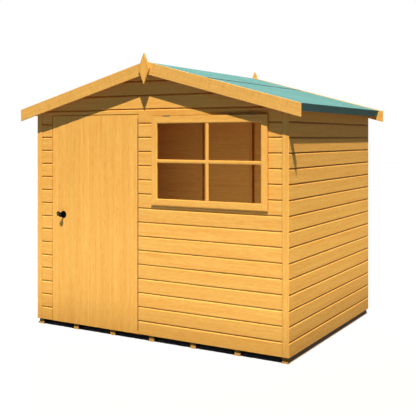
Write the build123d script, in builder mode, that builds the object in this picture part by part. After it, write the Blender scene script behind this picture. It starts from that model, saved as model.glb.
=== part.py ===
"""Wooden garden shed: boarded walls on a framed floor, a felted ridge roof, a door and a window."""

import os
from math import cos, radians, sin, tan

from build123d import *

os.makedirs("parts", exist_ok=True)

# Overall sizes in millimetres: X runs along the front, Y from front to back, Z up from the ground
wall_depth = 1828.0
roof_pitch_deg = 15.14
front_overhang = 81.0
back_overhang = 51.0

# Floor
bearer_width = 50.0
bearer_height = 48.0
bearer_count = 7
floor_inset = 12.5
deck_thickness = 12.0

# Walls, with the piers of cladding beside and between the door and the window
cladding_thickness = 12.0
batten_width = 38.0
batten_depth = 34.0
left_pier_width = 158.0
middle_pier_width = 134.0
right_pier_width = 153.0
head_board_height = 44.0
eaves_rise = 33.0
mid_rail_height = 905.0
side_stud_count = 4
strip_width = 54.0
strip_thickness = 4.0

# Doorway and door
door_width = 916.0
door_height = 1795.0
door_gap = 6.0
door_board_thickness = 9.0
ledge_depth = 21.0
stile_width = 44.0
ledge_width = 100.0
brace_width = 70.0

# Long strip hinge of the door
hinge_bottom_margin = 50.0
hinge_top_margin = 27.0
knuckle_radius = 4.0
knuckle_pitch = 115.0
knuckle_gap = 0.6
knuckle_clearance = 0.5
leaf_thickness = 1.2
leaf_depth = 28.0
pin_radius = 1.5
pin_clearance = 0.05

# Knob set
knob_backset = 124.0
knob_height = 986.5
rose_radius = 31.0
rose_thickness = 5.0
rose_chamfer = 3.0
neck_radius = 9.0
neck_length = 33.0
knob_radius = 21.0
knob_head_depth = 14.0
knob_taper = 4.0
knob_face_radius = 15.0
spindle_radius = 4.0
spindle_clearance = 0.5
lock_backset = 64.0
lock_rise = 5.0
lock_ring_radius = 18.0
lock_plug_radius = 8.0
lock_plug_rise = 1.5

# Window
sash_width = 1033.0
sash_height = 723.5
sash_head_drop = 21.0
sash_stile_width = 53.0
sash_top_width = 60.0
sash_bottom_width = 60.0
sash_proud = 15.5
window_gap = 4.0
glass_thickness = 4.0
glass_lap = 8.0
glass_setback = 9.0
window_hinge_length = 70.0
window_hinge_margin = 108.5
window_hinge_radius = 4.0
window_hinge_depth = 25.5

# Roof
roof_board_thickness = 12.0
felt_thickness = 2.0
felt_lip = 7.5
eave_overhang = 81.0
ridge_felt_half_width = 520.0
purlin_share = 0.5
ridge_rail_gap = 30.0
bargeboard_height = 101.0
bargeboard_thickness = 14.0
bargeboard_rise = 8.0
bargeboard_end_overhang = 127.0
finial_height = 252.0
finial_width = 104.0
finial_thickness = 20.0
finial_tip_rise = 73.0

# Places along the front: the piers, the doorway and the window, from left to right
doorway_width = door_width + 2 * door_gap
window_width = sash_width + 2 * window_gap
front_bays = (left_pier_width, doorway_width, middle_pier_width, window_width, right_pier_width)
inner_half_width = sum(front_bays) / 2
half_width = inner_half_width + cladding_thickness
room_half_width = inner_half_width - batten_depth
doorway_left = left_pier_width - inner_half_width
doorway_right = doorway_left + doorway_width
door_left = doorway_left + door_gap
door_right = doorway_right - door_gap
window_left = doorway_right + middle_pier_width
window_right = window_left + window_width
sash_left = window_left + window_gap
sash_right = window_right - window_gap

# Places from front to back, with the finials' faces at the two ends of the whole depth
overall_depth = wall_depth + front_overhang + back_overhang + 2 * finial_thickness
front_y = front_overhang + finial_thickness - overall_depth / 2
back_y = front_y + wall_depth
front_frame_y = front_y + cladding_thickness
back_frame_y = back_y - cladding_thickness
front_room_y = front_frame_y + batten_depth
back_room_y = back_frame_y - batten_depth
roof_front_y = front_y - front_overhang + bargeboard_thickness
roof_back_y = back_y + back_overhang - bargeboard_thickness

# Heights: floor, door, header over the door, window under the header, roof over the header
deck_top = bearer_height + deck_thickness
stud_bottom = deck_top + batten_width
door_bottom = bearer_height
door_top = door_bottom + door_height
header_bottom = door_top + door_gap
header_top = header_bottom + batten_width
head_board_bottom = header_bottom + head_board_height
sash_top = header_bottom - sash_head_drop
sash_bottom = sash_top - sash_height
window_bottom = sash_bottom - window_gap
window_top = sash_top + window_gap

# The roof boards' underside meets the top of the wall frames a little above the header
pitch = radians(roof_pitch_deg)
slope = tan(pitch)
board_drop = roof_board_thickness / cos(pitch)
felt_rise = felt_thickness / cos(pitch)
rafter_drop = batten_width / cos(pitch)
ridge_height = header_top + eaves_rise + slope * inner_half_width + board_drop
eave_x = half_width + eave_overhang


def boards_under(x):
    """Height of the roof boards' underside at a distance x from the centre line."""
    return ridge_height - board_drop - slope * abs(x)


def block(low, high):
    """Add a square-edged block between two corners to the part being built."""
    middle = tuple((a + b) / 2 for a, b in zip(low, high))
    sizes = tuple(b - a for a, b in zip(low, high))
    with Locations(middle):
        Box(*sizes)


def prism(outline, y_front, y_back):
    """Add an outline drawn across the shed, as wide as it is deep from y_front to y_back."""
    with BuildSketch(Plane.XZ.offset(-y_back)) as profile:
        with BuildLine():
            Polyline(*outline, close=True)
        make_face()
    extrude(profile.sketch, amount=y_back - y_front)


def mirrored(outline, side):
    """The outline of the right-hand side (side 1), or its mirror image on the left (side -1)."""
    return [(side * x, z) for x, z in outline]


def save(piece, name):
    """Name a finished piece and write it out."""
    piece.part.label = name
    export_step(piece.part, f"parts/{name}.step")


# Floor: bearers from front to back, with a deck on them
with BuildPart() as floor_bearers:
    bearer_span = 2 * (half_width - floor_inset) - bearer_width
    bearer_length = wall_depth - 2 * floor_inset
    with Locations((0, (front_y + back_y) / 2, bearer_height / 2)):
        with GridLocations(bearer_span / (bearer_count - 1), 0, bearer_count, 1):
            Box(bearer_width, bearer_length, bearer_height)
save(floor_bearers, "floor_bearers")

with BuildPart() as floor_deck:
    block(
        (floor_inset - half_width, front_y + floor_inset, bearer_height),
        (half_width - floor_inset, back_y - floor_inset, deck_top),
    )
save(floor_deck, "floor_deck")


# Cladding of the front wall, split beside and over the doorway and round the window
def front_cladding(name, left, right, bottom, top):
    """One rectangle of front cladding."""
    with BuildPart() as panel:
        block((left, front_y, bottom), (right, front_frame_y, top))
    save(panel, name)


front_cladding("front_wall_left", -inner_half_width, doorway_left, bearer_height, head_board_bottom)
front_cladding("front_wall_middle", doorway_right, window_left, bearer_height, head_board_bottom)
front_cladding("front_wall_below_window", window_left, window_right, bearer_height, window_bottom)
front_cladding("front_wall_right", window_right, inner_half_width, bearer_height, head_board_bottom)

with BuildPart() as front_wall_head:
    block((doorway_left, front_y, header_bottom), (doorway_right, front_frame_y, head_board_bottom))
    block((window_left, front_y, window_top), (window_right, front_frame_y, head_board_bottom))
save(front_wall_head, "front_wall_head")

with BuildPart() as front_gable:
    gable_outline = [
        (-inner_half_width, head_board_bottom),
        (inner_half_width, head_board_bottom),
        (inner_half_width, boards_under(inner_half_width)),
        (0, boards_under(0)),
        (-inner_half_width, boards_under(inner_half_width)),
    ]
    prism(gable_outline, front_y, front_frame_y)
save(front_gable, "front_gable")

# Cladding of the back wall, one panel with its gable, and of the two sides
with BuildPart() as back_wall:
    back_outline = [
        (-inner_half_width, bearer_height),
        (inner_half_width, bearer_height),
        (inner_half_width, boards_under(inner_half_width)),
        (0, boards_under(0)),
        (-inner_half_width, boards_under(inner_half_width)),
    ]
    prism(back_outline, back_frame_y, back_y)
save(back_wall, "back_wall")

side_outline = [
    (inner_half_width, bearer_height),
    (half_width, bearer_height),
    (half_width, boards_under(half_width)),
    (inner_half_width, boards_under(inner_half_width)),
]
for side, side_name in ((-1, "left"), (1, "right")):
    with BuildPart() as side_wall:
        prism(mirrored(side_outline, side), front_y, back_y)
    save(side_wall, f"{side_name}_wall")

# Cover strips on the front and back faces of the four corners
with BuildPart() as corner_strips:
    strip_outline = [
        (half_width - strip_width, bearer_height),
        (half_width, bearer_height),
        (half_width, boards_under(half_width)),
        (half_width - strip_width, boards_under(half_width - strip_width)),
    ]
    for side in (-1, 1):
        prism(mirrored(strip_outline, side), front_y - strip_thickness, front_y)
        prism(mirrored(strip_outline, side), back_y, back_y + strip_thickness)
save(corner_strips, "corner_strips")


# Frames: studs between a bottom rail and a header, and rafters under the roof boards
def end_wall_studs(lefts, y_front, y_back):
    """Studs of a gable wall, at the given left edges, and its king post on the header."""
    for left in lefts:
        block((left, y_front, stud_bottom), (left + batten_width, y_back, header_bottom))
    king_half = batten_width / 2
    king_outline = [
        (-king_half, header_top),
        (king_half, header_top),
        (king_half, boards_under(king_half)),
        (0, boards_under(0)),
        (-king_half, boards_under(king_half)),
    ]
    prism(king_outline, y_front, y_back)


door_jamb_left = doorway_left - batten_width
door_jamb_right = doorway_right
window_jamb_left = window_left - batten_width / 2
window_jamb_right = window_right - batten_width / 2
corner_stud_right = inner_half_width - batten_width

with BuildPart() as front_wall_studs:
    front_stud_lefts = [
        -inner_half_width,
        door_jamb_left,
        door_jamb_right,
        window_jamb_left,
        window_jamb_right,
        corner_stud_right,
    ]
    end_wall_studs(front_stud_lefts, front_frame_y, front_room_y)
save(front_wall_studs, "front_wall_studs")

with BuildPart() as front_wall_rails:
    rail_y = front_y + floor_inset
    window_rail_left = window_jamb_left + batten_width
    sill_bottom = sash_bottom - batten_width / 2
    head_bottom = sash_top - batten_width / 2 - window_gap
    block((-inner_half_width, rail_y, deck_top), (inner_half_width, front_room_y, stud_bottom))
    block(
        (window_rail_left, front_frame_y, sill_bottom),
        (window_jamb_right, front_room_y, sill_bottom + batten_width),
    )
    block(
        (window_rail_left, front_frame_y, head_bottom),
        (window_jamb_right, front_room_y, head_bottom + batten_width),
    )
    block(
        (-inner_half_width, front_frame_y, header_bottom),
        (inner_half_width, front_room_y, header_top),
    )
save(front_wall_rails, "front_wall_rails")

back_stud_pitch = corner_stud_right / 2
back_stud_lefts = [
    -inner_half_width,
    -back_stud_pitch - batten_width / 2,
    -batten_width / 2,
    back_stud_pitch - batten_width / 2,
    corner_stud_right,
]
with BuildPart() as back_wall_studs:
    end_wall_studs(back_stud_lefts, back_room_y, back_frame_y)
save(back_wall_studs, "back_wall_studs")

with BuildPart() as back_wall_rails:
    block((-inner_half_width, back_room_y, deck_top), (inner_half_width, back_frame_y, stud_bottom))
    for near, far in zip(back_stud_lefts, back_stud_lefts[1:]):
        block(
            (near + batten_width, back_room_y, mid_rail_height),
            (far, back_frame_y, mid_rail_height + batten_width),
        )
    block(
        (-inner_half_width, back_room_y, header_bottom),
        (inner_half_width, back_frame_y, header_top),
    )
save(back_wall_rails, "back_wall_rails")

side_plate_bottom = boards_under(inner_half_width) - batten_width
side_plate_outline = [
    (room_half_width, side_plate_bottom),
    (inner_half_width, side_plate_bottom),
    (inner_half_width, boards_under(inner_half_width)),
    (room_half_width, boards_under(room_half_width)),
]
side_stud_pitch = (back_room_y - front_room_y - batten_width) / (side_stud_count - 1)
side_stud_fronts = [front_room_y + side_stud_pitch * index for index in range(side_stud_count)]
for side, side_name in ((-1, "left"), (1, "right")):
    frame_x = sorted((side * room_half_width, side * inner_half_width))
    with BuildPart() as side_wall_studs:
        for stud_front in side_stud_fronts:
            block(
                (frame_x[0], stud_front, stud_bottom),
                (frame_x[1], stud_front + batten_width, side_plate_bottom),
            )
    save(side_wall_studs, f"{side_name}_wall_studs")
    with BuildPart() as side_wall_rails:
        block((frame_x[0], front_room_y, deck_top), (frame_x[1], back_room_y, stud_bottom))
        for near, far in zip(side_stud_fronts, side_stud_fronts[1:]):
            block(
                (frame_x[0], near + batten_width, mid_rail_height),
                (frame_x[1], far, mid_rail_height + batten_width),
            )
        prism(mirrored(side_plate_outline, side), front_room_y, back_room_y)
    save(side_wall_rails, f"{side_name}_wall_rails")

with BuildPart() as gable_rafters:
    king_half = batten_width / 2
    rafter_foot_x = (boards_under(0) - rafter_drop - header_top) / slope
    rafter_outline = [
        (king_half, boards_under(king_half)),
        (inner_half_width, boards_under(inner_half_width)),
        (inner_half_width, header_top),
        (rafter_foot_x, header_top),
        (king_half, boards_under(king_half) - rafter_drop),
    ]
    for side in (-1, 1):
        prism(mirrored(rafter_outline, side), front_frame_y, front_room_y)
        prism(mirrored(rafter_outline, side), back_room_y, back_frame_y)
save(gable_rafters, "gable_rafters")


# Roof: points on a slope are given by their run from the ridge and their lift off the boards' underside
def on_slope(x, lift):
    """A point at x along the underside of the right-hand boards, lifted square off the slope."""
    return (x + lift * sin(pitch), boards_under(x) + lift * cos(pitch))


roof_board_outline = [
    (0, boards_under(0)),
    (0, ridge_height),
    on_slope(eave_x, roof_board_thickness),
    on_slope(eave_x, 0),
]
felt_lift = roof_board_thickness + felt_thickness
eave_felt_x = eave_x + felt_thickness * cos(pitch)
fold_lift = -batten_width - felt_lip
felt_outline = [
    (0, ridge_height),
    (0, ridge_height + felt_rise),
    on_slope(eave_felt_x, felt_lift),
    on_slope(eave_felt_x, fold_lift),
    on_slope(eave_x, fold_lift),
    on_slope(eave_x, roof_board_thickness),
]


def rail_outline(x_low):
    """A rail set square to the slope under the boards, with its lower edge at x_low."""
    x_high = x_low - batten_depth * cos(pitch)
    return [
        on_slope(x_low, 0),
        on_slope(x_low, -batten_width),
        on_slope(x_high, -batten_width),
        on_slope(x_high, 0),
    ]


for side, side_name in ((-1, "left"), (1, "right")):
    with BuildPart() as roof_boards:
        prism(mirrored(roof_board_outline, side), roof_front_y, roof_back_y)
    save(roof_boards, f"roof_boards_{side_name}")
    with BuildPart() as roof_felt:
        prism(mirrored(felt_outline, side), roof_front_y, roof_back_y)
    save(roof_felt, f"roof_felt_{side_name}")

with BuildPart() as roof_rails:
    ridge_rail_x = ridge_rail_gap + batten_depth
    purlin_x = purlin_share * room_half_width
    for side in (-1, 1):
        prism(mirrored(rail_outline(eave_x), side), roof_front_y, roof_back_y)
        for rail_x in (ridge_rail_x, purlin_x):
            prism(mirrored(rail_outline(rail_x), side), front_room_y, back_room_y)
save(roof_rails, "roof_rails")

with BuildPart() as roof_felt_ridge:
    felt_ridge_z = ridge_height + felt_rise
    edge_x = ridge_felt_half_width
    edge_z = felt_ridge_z - slope * edge_x
    ridge_outline = [
        (0, felt_ridge_z + felt_rise),
        (edge_x, edge_z + felt_rise),
        (edge_x, edge_z),
        (0, felt_ridge_z),
        (-edge_x, edge_z),
        (-edge_x, edge_z + felt_rise),
    ]
    prism(ridge_outline, roof_front_y, roof_back_y)
save(roof_felt_ridge, "roof_felt_ridge")

# Bargeboards, mitred at the ridge and cut plumb at the eaves, and the diamond finials over the mitres
bargeboard_top = ridge_height + bargeboard_rise
bargeboard_end_x = half_width + bargeboard_end_overhang
bargeboard_end_top = bargeboard_top - slope * bargeboard_end_x
bargeboard_outline = [
    (0, bargeboard_top),
    (bargeboard_end_x, bargeboard_end_top),
    (bargeboard_end_x, bargeboard_end_top - bargeboard_height),
    (0, bargeboard_top - bargeboard_height),
]
bargeboard_fronts = (("front", front_y - front_overhang), ("back", roof_back_y))
for end_name, board_front in bargeboard_fronts:
    for side, side_name in ((-1, "left"), (1, "right")):
        with BuildPart() as bargeboard:
            board_back = board_front + bargeboard_thickness
            prism(mirrored(bargeboard_outline, side), board_front, board_back)
        save(bargeboard, f"{end_name}_bargeboard_{side_name}")

finial_tip_z = ridge_height + finial_tip_rise
finial_middle_z = finial_tip_z - finial_height / 2
finial_outline = [
    (0, finial_tip_z),
    (finial_width / 2, finial_middle_z),
    (0, finial_tip_z - finial_height),
    (-finial_width / 2, finial_middle_z),
]
with BuildPart() as finials:
    front_face_y = front_y - front_overhang
    back_face_y = back_y + back_overhang
    prism(finial_outline, front_face_y - finial_thickness, front_face_y)
    prism(finial_outline, back_face_y, back_face_y + finial_thickness)
save(finials, "finials")

# Window: a sash lying on the frame, its glass in a groove, and two hinges along its top
sash_front_y = front_y - sash_proud
glass_front_y = sash_front_y + glass_setback
pane_left = sash_left + sash_stile_width
pane_right = sash_right - sash_stile_width
pane_bottom = sash_bottom + sash_bottom_width
pane_top = sash_top - sash_top_width

with BuildPart() as window_glass:
    block(
        (pane_left - glass_lap, glass_front_y, pane_bottom - glass_lap),
        (pane_right + glass_lap, glass_front_y + glass_thickness, pane_top + glass_lap),
    )
save(window_glass, "window_glass")

with BuildPart() as window_sash:
    with BuildSketch(Plane.XZ.offset(-front_frame_y)):
        with Locations(((sash_left + sash_right) / 2, (sash_bottom + sash_top) / 2)):
            Rectangle(sash_width, sash_height)
        with Locations(((pane_left + pane_right) / 2, (pane_bottom + pane_top) / 2)):
            Rectangle(pane_right - pane_left, pane_top - pane_bottom, mode=Mode.SUBTRACT)
    extrude(amount=front_frame_y - sash_front_y)
    add(window_glass.part, mode=Mode.SUBTRACT)
save(window_sash, "window_sash")

with BuildPart() as window_hinges:
    barrel_z = sash_top + window_gap / 2
    barrel_y = sash_front_y - window_hinge_radius
    right_hinge_left = sash_right - window_hinge_margin - window_hinge_length
    for hinge_left in (sash_left + window_hinge_margin, right_hinge_left):
        with BuildSketch(Plane.YZ.offset(hinge_left)):
            with Locations((barrel_y, barrel_z)):
                Circle(window_hinge_radius)
        extrude(amount=window_hinge_length)
        block(
            (hinge_left, barrel_y, sash_top),
            (hinge_left + window_hinge_length, sash_front_y + window_hinge_depth, window_top),
        )
save(window_hinges, "window_hinges")

# Door: boards on stiles, rails and braces, bored for the knob's spindle
knob_x = door_left + knob_backset
door_frame_y = front_y + door_board_thickness
door_back_y = door_frame_y + ledge_depth
door_frame_bottom = stud_bottom + door_gap
spindle_hole_radius = spindle_radius + spindle_clearance
knob_axis = Plane.XZ.offset(-door_back_y)

with BuildPart() as door_panel:
    block((door_left, front_y, door_bottom), (door_right, door_frame_y, door_top))
    with BuildSketch(knob_axis):
        with Locations((knob_x, knob_height)):
            Circle(spindle_hole_radius)
    extrude(amount=door_back_y - front_y, mode=Mode.SUBTRACT)
save(door_panel, "door_panel")

with BuildPart() as door_stiles:
    for stile_left in (door_left, door_right - stile_width):
        block(
            (stile_left, door_frame_y, door_frame_bottom),
            (stile_left + stile_width, door_back_y, door_top),
        )
save(door_stiles, "door_stiles")

rail_left = door_left + stile_width
rail_right = door_right - stile_width
door_rail_bottoms = [
    door_frame_bottom,
    knob_height - ledge_width / 2,
    door_top - ledge_width,
]
with BuildPart() as door_rails:
    for rail_bottom in door_rail_bottoms:
        block((rail_left, door_frame_y, rail_bottom), (rail_right, door_back_y, rail_bottom + ledge_width))
    with BuildSketch(knob_axis):
        with Locations((knob_x, knob_height)):
            Circle(spindle_hole_radius)
    extrude(amount=door_back_y - front_y, mode=Mode.SUBTRACT)
save(door_rails, "door_rails")

with BuildPart() as door_braces:
    for low, high in zip(door_rail_bottoms, door_rail_bottoms[1:]):
        brace_foot = low + ledge_width
        brace_outline = [
            (rail_right, brace_foot),
            (rail_left + brace_width, high),
            (rail_left, high),
            (rail_right - brace_width, brace_foot),
        ]
        prism(brace_outline, door_frame_y, door_back_y)
save(door_braces, "door_braces")

# Strip hinge in the gap beside the door: alternate knuckles on two leaves, round one pin
hinge_x = door_right + door_gap / 2
hinge_y = front_y - knuckle_radius - knuckle_clearance
hinge_bottom = door_bottom + hinge_bottom_margin
hinge_length = door_top - hinge_top_margin - hinge_bottom
knuckle_count = 2 * round(hinge_length / knuckle_pitch / 2) + 1
knuckle_step = hinge_length / knuckle_count
leaf_front_y = front_y + knuckle_clearance


def hinge_leaf(name, leaf_left, first, bore_radius):
    """One leaf of the strip hinge, with every second knuckle from the given one."""
    leaf_right = leaf_left + leaf_thickness
    leaf_back_y = leaf_front_y + leaf_depth
    with BuildPart() as leaf:
        block((leaf_left, leaf_front_y, hinge_bottom), (leaf_right, leaf_back_y, hinge_bottom + hinge_length))
        for index in range(first, knuckle_count, 2):
            low = hinge_bottom + index * knuckle_step + knuckle_gap / 2
            high = low + knuckle_step - knuckle_gap
            block((leaf_left, hinge_y, low), (leaf_right, leaf_front_y, high))
            with BuildSketch(Plane.XY.offset(low)):
                with Locations((hinge_x, hinge_y)):
                    Circle(knuckle_radius)
            extrude(amount=high - low)
        with BuildSketch(Plane.XY.offset(hinge_bottom)):
            with Locations((hinge_x, hinge_y)):
                Circle(bore_radius)
        extrude(amount=hinge_length, mode=Mode.SUBTRACT)
    save(leaf, name)


hinge_leaf("door_hinge_leaf", door_right, 1, pin_radius + pin_clearance)
hinge_leaf("frame_hinge_leaf", doorway_right - leaf_thickness, 0, pin_radius)

with BuildPart() as hinge_pin:
    with BuildSketch(Plane.XY.offset(hinge_bottom)):
        with Locations((hinge_x, hinge_y)):
            Circle(pin_radius)
    extrude(amount=hinge_length)
save(hinge_pin, "hinge_pin")

# Knob set: a rose and a turned knob on each face, on one spindle through the door, and the lock's ring
neck_hole_radius = neck_radius + spindle_clearance
knob_end = neck_length + knob_head_depth
knob_line = Axis((knob_x, 0, knob_height), (0, 1, 0))
knob_sides = ((front_y, -1), (door_back_y, 1))

with BuildPart() as knob_roses:
    for face_y, outward in knob_sides:
        rose_face = face_y + outward * rose_thickness
        rose_edge = rose_face - outward * rose_chamfer
        with BuildSketch(Plane.XY.offset(knob_height)):
            with BuildLine():
                Polyline(
                    (knob_x + neck_hole_radius, face_y),
                    (knob_x + rose_radius, face_y),
                    (knob_x + rose_radius, rose_edge),
                    (knob_x + rose_radius - rose_chamfer, rose_face),
                    (knob_x + neck_hole_radius, rose_face),
                    close=True,
                )
            make_face()
        revolve(axis=knob_line)
    lock_x = door_left + lock_backset
    lock_z = knob_height + lock_rise
    ring_face = front_y - rose_thickness
    with BuildSketch(Plane.XY.offset(lock_z)):
        with BuildLine():
            Polyline(
                (lock_x, front_y),
                (lock_x + lock_ring_radius, front_y),
                (lock_x + lock_ring_radius, ring_face + rose_chamfer),
                (lock_x + lock_ring_radius - rose_chamfer, ring_face),
                (lock_x + lock_plug_radius, ring_face),
                (lock_x + lock_plug_radius, ring_face - lock_plug_rise),
                (lock_x, ring_face - lock_plug_rise),
                close=True,
            )
        make_face()
    revolve(axis=Axis((lock_x, 0, lock_z), (0, 1, 0)))
save(knob_roses, "knob_roses")

with BuildPart() as door_knobs:
    for face_y, outward in knob_sides:
        neck_foot = face_y + outward * spindle_clearance
        head_back = face_y + outward * neck_length
        head_front = face_y + outward * knob_end
        rim_back = head_back + outward * knob_taper
        rim_front = head_front - outward * knob_taper
        with BuildSketch(Plane.XY.offset(knob_height)):
            with BuildLine():
                Polyline(
                    (knob_x + spindle_radius, head_front),
                    (knob_x + spindle_radius, neck_foot),
                    (knob_x + neck_radius, neck_foot),
                    (knob_x + neck_radius, head_back),
                    (knob_x + knob_radius, rim_back),
                    (knob_x + knob_radius, rim_front),
                    (knob_x + knob_face_radius, head_front),
                    close=True,
                )
            make_face()
        revolve(axis=knob_line)
save(door_knobs, "door_knobs")

with BuildPart() as knob_spindle:
    with BuildSketch(Plane.XZ.offset(knob_end - front_y)):
        with Locations((knob_x, knob_height)):
            Circle(spindle_radius)
    extrude(amount=front_y - door_back_y - 2 * knob_end)
save(knob_spindle, "knob_spindle")
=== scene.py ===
# %% [markdown]
# # Dressing a wooden garden shed
# The shed's solids are already designed and packed: every wall, rail, hinge and board stands in its
# place, in metres. This lesson turns those plain solids into boards with grain, felt with grit and
# steel with brush marks, without moving anything. The frame is loaded first, and its box is kept,
# because the dressed shed has to stay inside it.

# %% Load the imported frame
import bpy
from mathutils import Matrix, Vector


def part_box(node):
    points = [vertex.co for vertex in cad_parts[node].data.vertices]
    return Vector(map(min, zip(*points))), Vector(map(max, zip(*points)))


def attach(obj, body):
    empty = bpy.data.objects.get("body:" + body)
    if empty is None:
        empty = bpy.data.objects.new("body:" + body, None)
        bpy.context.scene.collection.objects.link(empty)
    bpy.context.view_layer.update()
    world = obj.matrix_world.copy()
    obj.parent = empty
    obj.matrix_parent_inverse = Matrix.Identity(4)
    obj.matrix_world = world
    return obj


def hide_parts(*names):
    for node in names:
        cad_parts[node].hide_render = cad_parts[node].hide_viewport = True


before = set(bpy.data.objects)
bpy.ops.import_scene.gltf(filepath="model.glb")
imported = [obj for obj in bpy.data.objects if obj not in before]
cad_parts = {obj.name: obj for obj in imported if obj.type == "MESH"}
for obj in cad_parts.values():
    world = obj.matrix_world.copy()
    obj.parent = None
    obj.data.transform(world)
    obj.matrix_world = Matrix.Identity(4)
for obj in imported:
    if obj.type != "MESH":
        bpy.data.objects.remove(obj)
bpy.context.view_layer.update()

# %% [markdown]
# ## Standing where the photograph was taken
# The uprights of the shed stay upright in the picture. A tilted camera would make them lean
# together, so this one looks level, and its frame is shifted down instead. The eye height is that
# of a standing person, and the heading and the lens come from the vanishing points of the front
# and the side wall.

# %% Camera
import bpy
from math import radians
from mathutils import Vector

scene = bpy.context.scene
scene.view_settings.view_transform = "Standard"

eye = Vector((3.4184, -5.8592, 1.6541))
heading = radians(30.149)
lens_mm = 64.17
downward_shift = -0.1689

camera_data = bpy.data.cameras.new("photo_camera")
camera_data.lens = lens_mm
camera_data.shift_y = downward_shift
camera = bpy.data.objects.new("photo_camera", camera_data)
camera.location = eye
camera.rotation_euler = (radians(90), 0, heading)
scene.collection.objects.link(camera)
scene.camera = camera
print("camera at", [round(place, 2) for place in eye], "eye height", round(eye.z, 2), "m")

# %% [markdown]
# ## Two kinds of lamp
# Sunlight reaches a shed as parallel rays, and Blender's sun lamp gives just that: only its
# direction counts, and the size of its disc sets how crisp the shadows are. Light from a wide bright
# surface is soft, and an area lamp gives that. The soft boxes here only light the shed. They are
# hidden from the camera, the reflections and the glass, so no white strip shows anywhere.

# %% Lamp helpers
def add_sun(name, travel, strength, disc_degrees, colour):
    """A distant lamp that shines along the given direction."""
    lamp = bpy.data.lights.new(name, "SUN")
    lamp.energy = strength
    lamp.color = colour
    lamp.angle = radians(disc_degrees)
    holder = bpy.data.objects.new(name, lamp)
    holder.rotation_euler = travel.to_track_quat("-Z", "Y").to_euler()
    scene.collection.objects.link(holder)
    print(name, "shines along", [round(part, 2) for part in travel])


def add_soft_box(name, place, aim, length, height, power, spread_degrees, colour):
    """A wide soft lamp that only lights the shed, and isn't seen itself."""
    lamp = bpy.data.lights.new(name, "AREA")
    lamp.shape = "RECTANGLE"
    lamp.size = length
    lamp.size_y = height
    lamp.energy = power
    lamp.spread = radians(spread_degrees)
    lamp.color = colour
    holder = bpy.data.objects.new(name, lamp)
    holder.location = place
    holder.rotation_euler = aim.to_track_quat("-Z", "Y").to_euler()
    holder.visible_camera = False
    holder.visible_glossy = False
    holder.visible_transmission = False
    scene.collection.objects.link(holder)
    print(name, "stands at", place)


print("helpers for suns and soft boxes made")

# %% [markdown]
# ## The sun
# The eaves throw a crisp slanting shadow over the gable, so the main light is a warm sun with a
# small disc. Its direction could be guessed and turned until it fits, but it can also be worked out:
# it follows from how far a point of the roof edge has dropped and drifted when its shadow lands on
# the boards. A second, low and faint sun from behind keeps the back and the left side readable
# without touching the front, and a cool one from the front softens the shade under the eaves.

# %% Suns
sun_travel = Vector((-0.2566, 0.4204, -0.8702))
front_fill_travel = Vector((-0.4, 1, -0.1))
back_fill_travel = Vector((0.62, -0.76, -0.2))
warm = (1, 0.957, 0.877)
cool = (0.56, 0.705, 1)
white = (1, 1, 1)
add_sun("main_sun", sun_travel, strength=6.5, disc_degrees=0.6, colour=warm)
add_sun("front_fill", front_fill_travel, strength=0.24, disc_degrees=60, colour=cool)
add_sun("back_fill", back_fill_travel, strength=1.6, disc_degrees=20, colour=white)
print("sun falls", round(-sun_travel.z / sun_travel.y, 2), "m for each metre it goes back")

# %% [markdown]
# ## Light from the ground
# The boards in the photograph are brightest near knee height and fade towards the eaves, as they do
# beside a bright floor. A white floor could give that, but it would shine on everything at once. So a
# cool strip lies on the floor before the front, a pale one lies beside the right wall, and a low
# box behind it reaches a little higher. A last box stands in the room, for the sunlight
# that falls in through the window and lifts the brown view through the panes.

# %% Soft boxes
upwards = Vector((0, 0, 1))
glow_height = 0.006
pale = (0.93, 1, 0.88)
room_light = (0.84, 0.87, 0.9)
add_soft_box("front_glow", (0, -1.934, glow_height), upwards,
             length=5.2, height=0.83, power=42.5, spread_degrees=180, colour=cool)
add_soft_box("side_glow", (2.169, 0.1, glow_height), upwards,
             length=0.5, height=4.0, power=13, spread_degrees=180, colour=pale)
add_soft_box("side_box", (2.82, -0.65, 0.7), Vector((-1, 0, 0.12)),
             length=4.0, height=0.15, power=1.9, spread_degrees=60, colour=pale)
add_soft_box("room_glow", (-0.6, -0.7, 0.8), Vector((1.0, 1.62, 0.3)),
             length=0.6, height=0.4, power=4.7, spread_degrees=120, colour=room_light)

# %% [markdown]
# ## A white sky that hardly shines
# The picture's background is white paper. A plain white world would show as that, but it would also
# light every shaded board. So the sky is white wherever the camera, a reflection or the glass looks
# at it, and very weak for the light that reaches the boards. The Light Path node tells those rays
# apart, and a mix shader picks one of two shaders by it.

# %% World
sky_strength = 0.02
sky_colour = (1.0, 0.98, 0.95, 1)


def seen_directly(tree):
    """A socket that is 1 for camera, glossy and transmission rays, and 0 for the light's own bounces."""
    path = tree.nodes.new("ShaderNodeLightPath")
    total = path.outputs["Is Camera Ray"]
    for ray in ("Is Glossy Ray", "Is Transmission Ray"):
        either = tree.nodes.new("ShaderNodeMath")
        either.operation = "MAXIMUM"
        tree.links.new(total, either.inputs[0])
        tree.links.new(path.outputs[ray], either.inputs[1])
        total = either.outputs[0]
    return total


def choose_by_ray(tree, for_bounces, for_looking, output):
    """Send one shader to the output for bounced light and another for rays that look at it."""
    choice = tree.nodes.new("ShaderNodeMixShader")
    tree.links.new(seen_directly(tree), choice.inputs[0])
    tree.links.new(for_bounces.outputs[0], choice.inputs[1])
    tree.links.new(for_looking.outputs[0], choice.inputs[2])
    tree.links.new(choice.outputs[0], tree.nodes[output].inputs[0])


world = bpy.data.worlds.new("white_room")
scene.world = world
world.use_nodes = True
weak_sky = world.node_tree.nodes["Background"]
weak_sky.inputs["Color"].default_value = sky_colour
weak_sky.inputs["Strength"].default_value = sky_strength
white_paper = world.node_tree.nodes.new("ShaderNodeBackground")
white_paper.inputs["Color"].default_value = (1, 1, 1, 1)
choose_by_ray(world.node_tree, weak_sky, white_paper, "World Output")
print("sky strength for the boards", sky_strength)

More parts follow.
